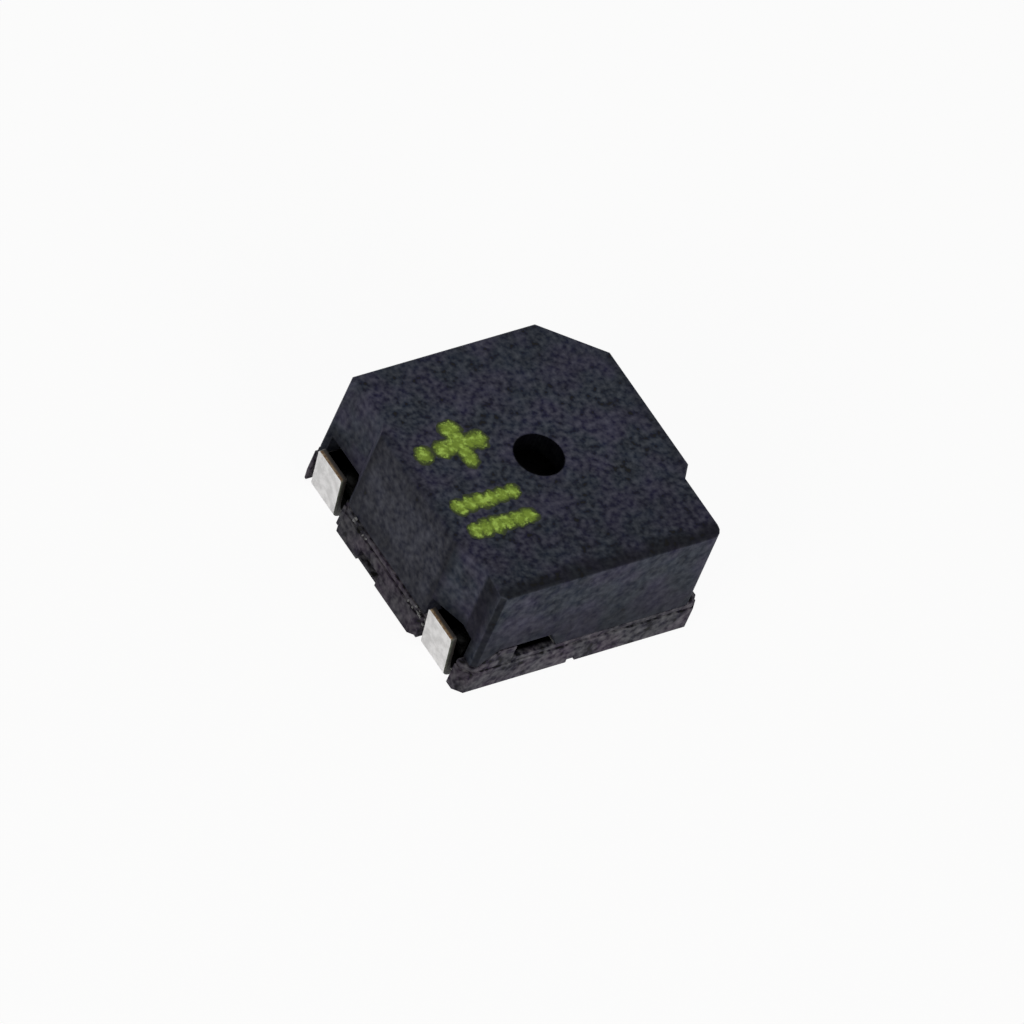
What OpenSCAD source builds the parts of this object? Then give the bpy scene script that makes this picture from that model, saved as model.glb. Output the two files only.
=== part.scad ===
// Square surface-mount magnetic buzzer. A moulded cap with a round sound hole is glued on a
// moulded base that holds four bent terminal straps. Inside, an iron yoke plate carries the
// core, the coil and a ring magnet, and a support ring carries the diaphragm with its armature.
//
// Frame: the seating plane of the four solder feet is z = 0, the middle of the body is x = y = 0,
// X runs across the two terminal sides, Y along them, and Z up through the sound hole.

/* [Cap] */
// Height of the top face above the seating plane
total_h = 4.15; // [4:0.05:6]
// Cap width across its proud side faces, at its lower edge
cap_w = 8.36; // [8.1:0.02:12]
// Cap length along the terminal sides, at its lower edge
cap_l = 8.46; // [8.1:0.02:12]
// How far each side wall leans in from its lower edge to the top face
cap_draft = 0.02; // [0:0.01:0.15]
// Height and width of the small bevel round the top face
cap_bevel = 0.07; // [0.02:0.01:0.15]
// Thickness of the cap's roof
roof_t = 0.7; // [0.4:0.05:0.9]
// Diameter of the sound hole
sound_hole_d = 1.5; // [0.8:0.1:2.5]
// Size of the large chamfer on the marked corner
corner_chamfer = 1.6; // [0.8:0.1:2.2]
// Size of the small chamfers on the two left corners
corner_break = 0.15; // [0.05:0.05:0.3]
// Radius of the round front right corner
corner_r = 0.4; // [0.1:0.05:0.6]

/* [Terminal recesses] */
// Half the length of the left proud face between its recesses
proud_half_left = 2.05; // [1.6:0.05:2.2]
// Half the length of the right proud face, from the middle to the front recess
proud_half_right = 1.65; // [1.4:0.05:2.2]
// Depth of the recesses below the proud faces
recess_depth = 0.37; // [0.2:0.01:0.45]
// How far the corners outside the recesses come back out
recess_return = 0.1; // [0.05:0.01:0.2]
// Length of the steep ramp into a recess
ramp_short = 0.42; // [0.2:0.02:0.6]
// Length of the shallow ramp into the front left recess
ramp_long = 1.15; // [0.8:0.05:1.3]
// Height of the window behind each terminal, above the cap's lower edge
window_h = 0.72; // [0.5:0.01:1.2]
// Depth of the window in the cap, from the terminal's inner face
window_depth = 0.85; // [0.5:0.05:0.9]
// Depth of the slot in the base, from the terminal's inner face
slot_depth = 0.45; // [0.3:0.01:0.5]
// Gap between a terminal's side edge and its window or slot
window_side_gap = 0.22; // [0.05:0.01:0.3]

/* [Seam and key] */
// Height of the base's upper face above the seating plane
base_top_z = 1.05; // [0.95:0.05:1.2]
// Thickness of the glue in the seam
seam_t = 0.06; // [0.03:0.01:0.12]
// How far the glue stays back from the cap's outer faces
seam_setback = 0.1; // [0.02:0.01:0.2]
// Width of the glue bead
seam_w = 0.28; // [0.15:0.01:0.35]
// Distance of the key's middle from the middle of the front side
key_offset = 2.38; // [1.8:0.02:2.4]
// Width of the cap's key notch at its lower edge
notch_w = 2.75; // [2:0.05:2.8]
// Height of the cap's key notch
notch_h = 0.54; // [0.3:0.02:0.8]
// Length of the notch's sloping ends
notch_slope = 0.6; // [0.3:0.05:0.7]
// Depth of the notch into the front wall
notch_depth = 0.34; // [0.2:0.02:0.4]
// Width of the base's key, which stands in the notch's left end
key_w = 1.2; // [0.7:0.05:1.5]
// Gap round the key in its notch
key_gap = 0.04; // [0.02:0.01:0.1]

/* [Base] */
// How far the base's front and back stand proud of the cap's
base_step = 0.02; // [0:0.01:0.15]
// How far the base's side lands, between the terminals, stand proud of the cap's sides
land_step = 0.07; // [0:0.01:0.15]
// How far the base's corners stand back from its side lands
land_depth = 0.15; // [0.1:0.01:0.3]
// Height of the base's upper flange
flange_h = 0.15; // [0.1:0.01:0.2]
// How far the flange stands back from the band under it
flange_setback = 0.04; // [0.02:0.01:0.08]
// Height of the groove under the flange
groove_h = 0.05; // [0.03:0.01:0.08]
// Depth of that groove, from the band's outer face
groove_depth = 0.12; // [0.06:0.01:0.2]
// Gap between the base's underside and the seating plane
standoff = 0.05; // [0.02:0.01:0.15]
// Thickness of the base's floor under the yoke plate
floor_t = 0.4; // [0.3:0.05:0.6]
// Size of the small chamfers on the base's corners
base_break = 0.25; // [0.15:0.05:0.4]
// Width of the notch in the middle of each terminal side's lower edge
side_notch_w = 1; // [0.3:0.05:1.2]
// Height of that notch
side_notch_h = 0.45; // [0.2:0.05:0.6]
// How far that notch lies behind the middle of the side
side_notch_shift = 0.45; // [-0.5:0.05:0.5]
// Width of the small notch in the front's and back's lower edge
end_notch_w = 0.3; // [0.2:0.05:0.6]
// Height of that notch
end_notch_h = 0.2; // [0.1:0.02:0.4]
// How far that notch lies left of the middle
end_notch_shift = 0.15; // [-0.5:0.05:0.5]
// Depth of both kinds of notch
edge_notch_depth = 0.3; // [0.1:0.05:0.4]
// Height of the thin lip that closes a notch below
notch_lip_h = 0.1; // [0.05:0.01:0.15]
// How far that lip stands back from the side
notch_lip_setback = 0.08; // [0.03:0.01:0.15]
// Diameter of the shallow moulding mark in the middle of the underside
gate_mark_d = 2.4; // [1:0.1:2.5]
// Depth of that mark
gate_mark_depth = 0.08; // [0.04:0.01:0.15]

/* [Terminals] */
// Thickness of the strap
strap_t = 0.2; // [0.15:0.01:0.25]
// Width of the outer tab and foot
tab_w = 1.22; // [1:0.05:1.45]
// Height of the outer tab's outer face above the seating plane
tab_h = 1.7; // [1.1:0.05:2]
// How far the outer tab leans out from upright, in degrees
tab_lean = 10; // [0:1:15]
// Size of the small chamfers on the tab's two upper corners
tab_break = 0.06; // [0.02:0.01:0.2]
// Distance between the middles of the two terminals on one side
tab_pitch = 6; // [5.8:0.1:8]
// How far the terminals lie behind the middle of their side
tab_shift = 0.1; // [0:0.01:0.15]
// How far the outer tab's foot stands back from the base's side lands
tab_setback = 0.13; // [0.03:0.01:0.2]
// Outer radius of the strap's bends
bend_r = 0.3; // [0.26:0.01:0.35]
// Length of the foot along the underside, from the tab's outer face to the riser
foot_l = 1.43; // [1.4:0.01:2]
// Width of the riser and the inner pad
riser_w = 0.8; // [0.6:0.05:1]
// Height of the inner pad's upper face
pad_z = 0.65; // [0.6:0.01:0.75]
// Length of the inner pad from the riser's far side
pad_l = 0.78; // [0.7:0.01:0.8]
// Play round the inner pad in its pocket
pocket_gap = 0.05; // [0.02:0.01:0.08]

/* [Magnet system] */
// Outer radius of the support ring
ring_r = 3.45; // [3:0.05:3.6]
// Wall of the support ring
ring_wall = 0.3; // [0.2:0.05:0.4]
// Running gap between the cap's or base's bore and the support ring
ring_gap = 0.05; // [0.02:0.01:0.1]
// Thickness of the yoke plate
yoke_t = 0.45; // [0.3:0.05:0.6]
// Gap between the yoke plate or the magnet and the support ring
yoke_gap = 0.05; // [0.02:0.01:0.15]
// Radial wall of the ring magnet
magnet_wall = 0.7; // [0.5:0.05:0.9]
// Height of the ring magnet
magnet_h = 0.85; // [0.6:0.05:0.9]
// Radius of the core
core_r = 0.85; // [0.6:0.05:1]
// Height of the core's pole face above the yoke plate
core_h = 1.15; // [1:0.05:1.3]
// Height of the coil
coil_h = 0.95; // [0.7:0.05:1]
// Gap between the coil and the core
coil_bore_gap = 0.04; // [0.02:0.01:0.1]
// Gap between the coil and the ring magnet
coil_gap = 0.15; // [0.1:0.01:0.25]
// Working air gap between the pole face and the diaphragm
air_gap = 0.12; // [0.08:0.01:0.2]
// Thickness of the diaphragm
diaphragm_t = 0.05; // [0.03:0.01:0.1]
// Width of the support ring's seat under the diaphragm's edge
seat_w = 0.35; // [0.2:0.05:0.45]
// Height of the support ring's rim above the diaphragm's seat
rim_h = 0.12; // [0.08:0.01:0.2]
// Width of the support ring's rim
rim_w = 0.2; // [0.12:0.01:0.25]
// Play round the diaphragm's edge
diaphragm_play = 0.04; // [0.02:0.01:0.08]
// Radius of the armature disc
armature_r = 1.3; // [0.9:0.05:1.8]
// Thickness of the armature disc
armature_t = 0.25; // [0.15:0.05:0.4]

/* [Coil leads] */
// Diameter of the enamelled wire
wire_d = 0.1; // [0.06:0.01:0.12]
// Width of the lead's slot in the yoke plate and its channel in the base
channel_w = 0.4; // [0.3:0.05:0.5]
// Depth of the channel in the base's floor
channel_depth = 0.18; // [0.14:0.01:0.22]
// Radius of the round solder joint on a pad
solder_r = 0.23; // [0.2:0.01:0.24]
// Height of the solder joint
solder_h = 0.18; // [0.15:0.01:0.2]
// Thickness of the solder under the lead
solder_film = 0.02; // [0.01:0.01:0.04]

/* [Hidden] */

FINE = 96;              // facets of a full circle where OpenSCAD draws it
CUT = 1;                // how far a cutting shape runs past the solid it cuts
LEFT = -1;              // side of a terminal along X
RIGHT = 1;
FRONT = -1;             // end of a terminal along Y
BACK = 1;
CORNER_STEPS = 4;       // straight pieces in the round front right corner

cap_z = base_top_z + seam_t;
floor_z = standoff + floor_t;
yoke_z = floor_z + yoke_t;                          // upper face of the yoke plate
pole_z = yoke_z + core_h;
seat_z = pole_z + air_gap;                          // underside of the diaphragm
rim_z = seat_z + rim_h;                             // where the cap's shoulder rests
bore_r = ring_r + ring_gap;
yoke_r = ring_r - ring_wall - yoke_gap;
magnet_r = yoke_r - yoke_gap;
magnet_bore_r = magnet_r - magnet_wall;
coil_r = magnet_bore_r - coil_gap;
diaphragm_r = ring_r - rim_w - diaphragm_play;
chamber_r = ring_r - rim_w - diaphragm_play / 2;

land_x = cap_w / 2 + land_step;                     // outer face of the base's side lands
base_l = cap_l + 2 * base_step;
tab_x = land_x - tab_setback;                       // outermost line of the tabs' lower bends
window_x = tab_x - strap_t - window_depth;          // back wall of the cap's windows
slot_x = tab_x - strap_t - slot_depth;              // back wall of the base's slots
window_w = tab_w + 2 * window_side_gap;
riser_x = tab_x - foot_l;                           // inner face of the risers
pad_mid_x = riser_x + (bend_r + pad_l) / 2;         // middle of the pad's flat
lead_start_r = coil_r - wire_d;
lead_z = floor_z - channel_depth / 2;
lead_rise_r = bore_r + 0.8 * wire_d;                // where a lead climbs to its pad
lead_end_z = pad_z + solder_film + wire_d / 2;

// Points of a quarter circle of radius r, from angle a0, in straight steps
function arc(x, y, r, a0) =
    [for (i = [0 : CORNER_STEPS]) let (a = a0 + 90 * i / CORNER_STEPS) [x + r * cos(a), y + r * sin(a)]];

// Outline of the cap seen from above, drawn in by d on every side
function cap_points(d) =
    let (
        proud = cap_w / 2 - d,
        floor_x = proud - recess_depth,
        corner_x = floor_x + recess_return,
        end = cap_l / 2 - d
    )
    concat(
        // front left corner and the front side
        [[-corner_x, -end + corner_break], [-corner_x + corner_break, -end]],
        arc(floor_x - corner_r, -end + corner_r, corner_r, -90),
        // right side: recess at the front, then the proud face up to the marked corner
        [[floor_x, -proud_half_right - ramp_short], [proud, -proud_half_right],
         [proud, end - corner_chamfer], [proud - corner_chamfer, end]],
        // back left corner with its recess
        [[-corner_x + corner_break, end], [-corner_x, end - corner_break],
         [-floor_x, end - corner_break - recess_return],
         [-floor_x, proud_half_left + ramp_short], [-proud, proud_half_left]],
        // left proud face and the long ramp into the front left recess
        [[-proud, -proud_half_left], [-floor_x, -proud_half_left - ramp_long]]
    );

// Rectangle from corner to corner, with chamfered corners of size c
function chamfered(x0, y0, x1, y1, c) = [
    [x0 + c, y0], [x1 - c, y0], [x1, y0 + c], [x1, y1 - c], [x1 - c, y1], [x0 + c, y1], [x0, y1 - c], [x0, y0 + c]
];

// Place of a terminal along its side, and the pad's distance and direction from the middle
function tab_y(end) = tab_shift + end * tab_pitch / 2;
function pad_r(end) = norm([pad_mid_x, tab_y(end)]);
function lead_turn(end) = atan2(tab_y(end), -pad_mid_x);

// Places its children at one of the four terminals, turned so that +X is outwards
module at_terminal(side, end) {
    translate([0, tab_y(end), 0]) mirror([side == LEFT ? 1 : 0, 0, 0]) children();
}

module at_each_terminal() {
    for (side = [LEFT, RIGHT], end = [FRONT, BACK]) at_terminal(side, end) children();
}

// Room round one terminal, from its back wall at x to the outside, between two heights
module terminal_window(x, z0, z1) {
    translate([x, -window_w / 2, z0]) cube([cap_w / 2, window_w, z1 - z0]);
}

// Sloping-ended block in the front wall, used for the notch and, smaller, for the key
module front_block(x0, x1, h, slope0, slope1, depth) {
    translate([0, -cap_l / 2 + depth, 0]) rotate([90, 0, 0]) linear_extrude(depth + CUT)
        polygon([[x0, -CUT], [x0, 0], [x0 + slope0, h], [x1 - slope1, h], [x1, 0], [x1, -CUT]]);
}

module cap_body() {
    side_h = total_h - cap_z - cap_bevel;
    lean = 1 - 2 * cap_draft / cap_w;
    translate([0, 0, cap_z]) linear_extrude(side_h, scale = lean) polygon(cap_points(0));
    translate([0, 0, cap_z + side_h]) linear_extrude(cap_bevel, scale = 1 - 2 * cap_bevel / cap_w)
        scale(lean) polygon(cap_points(0));
}

module upper_case() color([0.13, 0.14, 0.17]) difference() {
    cap_body();
    // bore over the support ring, chamber above the diaphragm and the sound hole
    translate([0, 0, cap_z - CUT]) cylinder(h = rim_z - cap_z + CUT, r = bore_r, $fn = FINE);
    translate([0, 0, cap_z]) cylinder(h = total_h - roof_t - cap_z, r = chamber_r, $fn = FINE);
    translate([0, 0, cap_z]) cylinder(h = total_h, d = sound_hole_d, $fn = FINE);
    at_each_terminal() terminal_window(window_x, cap_z - CUT, cap_z + window_h);
    translate([0, 0, cap_z])
        front_block(-key_offset - notch_w / 2, -key_offset + notch_w / 2, notch_h, notch_slope, notch_slope / 2,
                    notch_depth);
}

// Side view of one strap: x is the distance from the body's middle, y is the height.
// A bend turns through turn degrees, from the direction start on.
module strap_bend(x, y, start, turn) {
    translate([x, y]) rotate(start) intersection() {
        difference() {
            circle(bend_r, $fn = FINE);
            circle(bend_r - strap_t, $fn = FINE);
        }
        reach = 2 * bend_r;
        polygon([[0, 0], [reach, 0], [reach, reach * tan(turn / 2)], [reach * cos(turn), reach * sin(turn)]]);
    }
}

module foot_profile() {
    strap_bend(tab_x - bend_r, bend_r, -90, 90 - tab_lean);
    translate([riser_x + bend_r, 0]) square([foot_l - 2 * bend_r, strap_t]);
}

module riser_profile() {
    strap_bend(riser_x + bend_r, bend_r, 180, 90);
    strap_bend(riser_x + bend_r, pad_z - bend_r, 90, 90);
    if (pad_z > 2 * bend_r) translate([riser_x, bend_r]) square([strap_t, pad_z - 2 * bend_r]);
    translate([riser_x + bend_r, pad_z - strap_t]) square([pad_l - bend_r, strap_t]);
}

// Straight outer tab above its bend, with its upper corners broken
module tab_plate() {
    length = (tab_h - bend_r * (1 - sin(tab_lean))) / cos(tab_lean);
    translate([tab_x - bend_r, 0, bend_r]) rotate([0, tab_lean, 0]) translate([bend_r, 0, 0])
        rotate([0, -90, 0]) linear_extrude(strap_t) polygon([
            [0, -tab_w / 2], [length - tab_break, -tab_w / 2], [length, -tab_w / 2 + tab_break],
            [length, tab_w / 2 - tab_break], [length - tab_break, tab_w / 2], [0, tab_w / 2]
        ]);
}

module strap() {
    rotate([90, 0, 0]) {
        linear_extrude(tab_w, center = true) foot_profile();
        linear_extrude(riser_w, center = true) riser_profile();
    }
    tab_plate();
}

module terminal(side, end) color([0.78, 0.78, 0.74]) at_terminal(side, end) strap();

// Outline of the base, drawn in by d: the main rectangle and the lands between the terminals
module base_outline(d) {
    corner_x = land_x - land_depth - d;
    room = window_w / 2 + d;
    polygon(chamfered(-corner_x, -base_l / 2 + d, corner_x, base_l / 2 - d, base_break));
    polygon(chamfered(-land_x + d, tab_y(FRONT) + room, land_x - d, tab_y(BACK) - room, base_break));
}

module base_body() {
    flange_z = base_top_z - flange_h;
    groove_z = flange_z - groove_h;
    translate([0, 0, standoff]) linear_extrude(groove_z - standoff) base_outline(0);
    translate([0, 0, groove_z]) linear_extrude(groove_h) base_outline(groove_depth);
    translate([0, 0, flange_z]) linear_extrude(flange_h) base_outline(flange_setback);
    // key on the front side, in the near end of the cap's notch
    key_x = -key_offset - notch_w / 2 + key_gap;
    intersection() {
        translate([0, 0, base_top_z])
            front_block(key_x, key_x + key_w, notch_h, notch_slope, 0, notch_depth - key_gap);
        translate([-cap_w / 2, -cap_l / 2, flange_z])
            cube([cap_w, cap_l, cap_z + notch_h - key_gap - flange_z]);
    }
}

// Notch with a thin lip below, in a lower edge that lies at the distance reach along +Y
module edge_notch(w, h, shift, reach) {
    translate([shift - w / 2, reach - notch_lip_setback, standoff - CUT])
        cube([w, notch_lip_setback + CUT, h + CUT]);
    translate([shift - w / 2, reach - edge_notch_depth, standoff + notch_lip_h])
        cube([w, edge_notch_depth + CUT, h - notch_lip_h]);
}

// Pocket round one inner pad, open upwards, and the lead's way into it
module pad_pocket() {
    translate([riser_x - pocket_gap, -riser_w / 2 - pocket_gap, pad_z])
        cube([pad_l + pocket_gap, riser_w + 2 * pocket_gap, base_top_z - pad_z + CUT]);
}

module lead_channel(end) {
    start_r = lead_start_r - channel_w / 2;
    rotate([0, 0, lead_turn(end)]) {
        translate([start_r, -channel_w / 2, floor_z - channel_depth])
            cube([lead_rise_r + wire_d - start_r, channel_w, channel_depth + CUT]);
        translate([start_r, -channel_w / 2, pad_z]) cube([pad_r(end) - start_r, channel_w, CUT]);
    }
}

module base() color([0.15, 0.14, 0.15]) difference() {
    base_body();
    translate([0, 0, floor_z]) cylinder(h = total_h, r = bore_r, $fn = FINE);
    translate([0, 0, standoff - CUT]) cylinder(h = CUT + gate_mark_depth, d = gate_mark_d, $fn = FINE);
    at_each_terminal() {
        terminal_window(slot_x, standoff - CUT, base_top_z + CUT);
        strap();
        pad_pocket();
    }
    for (end = [FRONT, BACK]) lead_channel(end);
    rotate([0, 0, 90]) edge_notch(side_notch_w, side_notch_h, side_notch_shift, land_x);
    rotate([0, 0, -90]) edge_notch(side_notch_w, side_notch_h, -side_notch_shift, land_x);
    edge_notch(end_notch_w, end_notch_h, -end_notch_shift, base_l / 2);
    rotate([0, 0, 180]) edge_notch(end_notch_w, end_notch_h, end_notch_shift, base_l / 2);
}

module seam_adhesive() color([0.2, 0.2, 0.22]) difference() {
    translate([0, 0, base_top_z]) linear_extrude(seam_t) difference() {
        polygon(cap_points(seam_setback));
        polygon(cap_points(seam_setback + seam_w));
    }
    at_each_terminal() terminal_window(window_x, base_top_z - CUT, cap_z + CUT);
    translate([0, 0, base_top_z - CUT / 2])
        front_block(-key_offset - notch_w / 2, -key_offset + notch_w / 2, CUT, 0, 0,
                    notch_depth + seam_w);
}

module yoke_plate() color([0.55, 0.55, 0.56]) difference() {
    translate([0, 0, floor_z]) cylinder(h = yoke_t, r = yoke_r, $fn = FINE);
    translate([0, 0, floor_z - CUT]) cylinder(h = yoke_t + 2 * CUT, r = core_r, $fn = FINE);
    for (end = [FRONT, BACK]) rotate([0, 0, lead_turn(end)])
        translate([lead_start_r - channel_w / 2, -channel_w / 2, floor_z - CUT])
            cube([yoke_r, channel_w, yoke_t + 2 * CUT]);
}

module core() color([0.6, 0.6, 0.62])
    translate([0, 0, floor_z]) cylinder(h = yoke_t + core_h, r = core_r, $fn = FINE);

module coil() color([0.72, 0.35, 0.16]) translate([0, 0, yoke_z]) difference() {
    cylinder(h = coil_h, r = coil_r, $fn = FINE);
    translate([0, 0, -CUT]) cylinder(h = coil_h + 2 * CUT, r = core_r + coil_bore_gap, $fn = FINE);
}

module magnet_ring() color([0.3, 0.3, 0.32]) translate([0, 0, yoke_z]) difference() {
    cylinder(h = magnet_h, r = magnet_r, $fn = FINE);
    translate([0, 0, -CUT]) cylinder(h = magnet_h + 2 * CUT, r = magnet_bore_r, $fn = FINE);
}

module support_ring() color([0.85, 0.83, 0.76]) rotate_extrude($fn = FINE)
    polygon([
        [ring_r - ring_wall, floor_z], [ring_r, floor_z], [ring_r, rim_z], [ring_r - rim_w, rim_z],
        [ring_r - rim_w, seat_z], [ring_r - rim_w - seat_w, seat_z],
        [ring_r - rim_w - seat_w, seat_z - seat_w], [ring_r - ring_wall, seat_z - seat_w]
    ]);

module diaphragm() color([0.7, 0.71, 0.72])
    translate([0, 0, seat_z]) cylinder(h = diaphragm_t, r = diaphragm_r, $fn = FINE);

module armature_disc() color([0.5, 0.5, 0.52])
    translate([0, 0, seat_z + diaphragm_t]) cylinder(h = armature_t, r = armature_r, $fn = FINE);

// Stretch of round wire between two points
module wire_run(a, b) {
    d = b - a;
    translate(a) rotate([0, acos(d[2] / norm(d)), atan2(d[1], d[0])])
        cylinder(h = norm(d), d = wire_d, $fn = 24);
}

// One lead along its own direction: down through the yoke plate, out under the support ring
// in the channel, and up to the middle of the pad
module lead_wire(end) color([0.75, 0.38, 0.18]) {
    path = [
        [lead_start_r, 0, yoke_z], [lead_start_r, 0, lead_z], [lead_rise_r, 0, lead_z],
        [lead_rise_r, 0, lead_end_z], [pad_r(end), 0, lead_end_z]
    ];
    rotate([0, 0, lead_turn(end)]) {
        for (i = [0 : len(path) - 2]) wire_run(path[i], path[i + 1]);
        for (i = [1 : len(path) - 2]) translate(path[i]) sphere(d = wire_d, $fn = 24);
    }
}

// Dome of solder on the pad, round the end of the lead
module solder_joint(end) color([0.8, 0.8, 0.8])
    rotate([0, 0, lead_turn(end)]) translate([pad_r(end), 0, pad_z]) difference() {
        rotate_extrude($fn = FINE)
            polygon(concat([[0, 0]], [for (i = [0 : CORNER_STEPS]) let (a = 90 * i / CORNER_STEPS)
                [solder_r * cos(a), solder_h * sin(a)]]));
        wire_run([-2 * solder_r, 0, lead_end_z - pad_z], [0, 0, lead_end_z - pad_z]);
    }

upper_case();
base();
seam_adhesive();
terminal(LEFT, FRONT);  // terminal_front_left
terminal(LEFT, BACK);  // terminal_back_left
terminal(RIGHT, FRONT);  // terminal_front_right
terminal(RIGHT, BACK);  // terminal_back_right
yoke_plate();
core();
coil();
magnet_ring();
support_ring();
diaphragm();
armature_disc();
lead_wire(FRONT);  // lead_wire_front
lead_wire(BACK);  // lead_wire_back
solder_joint(FRONT);  // solder_joint_front
solder_joint(BACK);  // solder_joint_back
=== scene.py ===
"""Looks of a surface-mount magnetic buzzer, built round its fixed model as a Blender add-on.

Settings and meshes are in metres; materials read their points in millimetres of the model's frame. The
housing and the terminals are finished copies of the model's own pieces with rounded edges; ink, the
drops of glue and the coil's winding are made by Geometry Nodes.
"""
import math
import random

import bmesh
import bpy
from bpy.props import FloatProperty, FloatVectorProperty, IntProperty, PointerProperty
from mathutils import Matrix, Vector


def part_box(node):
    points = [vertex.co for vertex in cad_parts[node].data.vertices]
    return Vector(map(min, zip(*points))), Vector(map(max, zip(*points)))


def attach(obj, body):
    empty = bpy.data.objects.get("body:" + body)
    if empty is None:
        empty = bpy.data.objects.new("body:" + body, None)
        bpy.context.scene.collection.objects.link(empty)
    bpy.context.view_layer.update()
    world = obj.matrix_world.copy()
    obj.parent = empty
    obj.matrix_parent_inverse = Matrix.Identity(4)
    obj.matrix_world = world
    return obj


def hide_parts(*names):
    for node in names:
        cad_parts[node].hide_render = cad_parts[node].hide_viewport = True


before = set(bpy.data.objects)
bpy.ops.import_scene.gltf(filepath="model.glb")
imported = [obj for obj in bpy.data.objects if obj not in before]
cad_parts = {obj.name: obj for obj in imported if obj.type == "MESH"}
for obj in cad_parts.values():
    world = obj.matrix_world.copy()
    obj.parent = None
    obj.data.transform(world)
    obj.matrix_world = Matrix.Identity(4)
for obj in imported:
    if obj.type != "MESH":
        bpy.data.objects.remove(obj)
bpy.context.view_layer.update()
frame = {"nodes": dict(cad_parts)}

bl_info = {
    "name": "Magnetic buzzer",
    "version": (1, 0, 0),
    "blender": (4, 5, 0),
    "location": "3D View > Sidebar > Buzzer",
    "description": "Builds the finish of a surface-mount magnetic buzzer piece by piece",
    "category": "Object",
}

MM = 0.001
ROOT = "root"
TERMINALS = ("terminal_front_left", "terminal_back_left", "terminal_front_right", "terminal_back_right")
LEADS = ("lead_wire_front", "lead_wire_back")
SOLDER_JOINTS = ("solder_joint_front", "solder_joint_back")

# Finishing of a copied piece. Points nearer than the merge distance become one, faces that meet at less
# than the flat angle become one, edges sharper than the edge angle are rounded in a few steps, and those
# still sharper than the smooth angle keep a crisp shade.
MERGE_DISTANCE = 1e-7
FLAT_ANGLE = math.radians(0.5)
EDGE_ANGLE = math.radians(25)
BEVEL_STEPS = 3
SMOOTH_ANGLE = math.radians(40)

# Half widths along X and Y of the depths in cap and base that are painted black as shade, in millimetres.
CAP_DEPTHS_HALF = (3.79, 3.95)
BASE_DEPTHS_HALF = (4.04, 4.27)

# Soft edges of those depths, in millimetres: where each starts and where it ends. The fade is counted
# inwards from the half widths, heights from the solder feet, and the cut corner as the sum of X and Y.
DEPTHS_FADE = (0.3, 0.06)
DEPTHS_FLOOR = (0.1, 0.2)
DEPTHS_ROOF = (2.6, 2.7)
CUT_CORNER = (6.3, 6.6)
SOUND_HOLE_R = (0.74, 0.8)
SOUND_HOLE_FOOT = (1.7, 1.8)

# Along Y in millimetres: where the cap's flat sides end, and how far painted shade spreads beside a terminal.
FLAT_SIDE_END = 2.05
TERMINAL_REACH = (0.75, 1.35)


# ---------------------------------------------------------------- node trees written as expressions


class Value:
    """An output socket whose arithmetic adds Math nodes, so that 1 - mask works."""

    def __init__(self, graph, socket):
        self.graph = graph
        self.socket = socket

    def math(self, operation, *others):
        """A Math node on this value and up to two more."""
        inputs = dict(enumerate((self, *others)))
        return self.graph.node("ShaderNodeMath", {"operation": operation}, inputs)

    def __add__(self, other):
        return self.math("ADD", other)

    def __radd__(self, other):
        return self.math("ADD", other)

    def __sub__(self, other):
        return self.math("SUBTRACT", other)

    def __rsub__(self, other):
        return self.graph.node("ShaderNodeMath", {"operation": "SUBTRACT"}, {0: other, 1: self})

    def __mul__(self, other):
        return self.math("MULTIPLY", other)

    def __rmul__(self, other):
        return self.math("MULTIPLY", other)

    def __truediv__(self, other):
        return self.math("DIVIDE", other)

    def clamped(self):
        """This value kept between 0 and 1."""
        return self.graph.node("ShaderNodeClamp", {}, {"Value": self})

    def step(self, low, high):
        """0 below low, 1 above high and a smooth climb between them."""
        return self.graph.node(
            "ShaderNodeMapRange", {"interpolation_type": "SMOOTHSTEP"},
            {"Value": self, "From Min": low, "From Max": high},
        )


class Graph:
    """A shader or geometry tree to which nodes are added in one way."""

    def __init__(self, tree):
        self.tree = tree

    def node(self, kind, settings=None, inputs=None, output=0):
        """Adds a node, sets its settings, then its sockets' values or links, and returns one output."""
        made = self.tree.nodes.new(kind)
        for name, setting in (settings or {}).items():
            setattr(made, name, setting)
        for name, value in (inputs or {}).items():
            socket = made.inputs[name]
            if isinstance(value, Value):
                self.tree.links.new(value.socket, socket)
            else:
                socket.default_value = value
        return Value(self, made.outputs[output]) if made.outputs else None

    def mix(self, factor, first, second):
        """A colour that goes from first to second as factor goes from 0 to 1."""
        return self.node(
            "ShaderNodeMix", {"data_type": "RGBA"},
            {"Factor": factor, 6: rgba(first), 7: rgba(second)}, output=2,
        )


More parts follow.
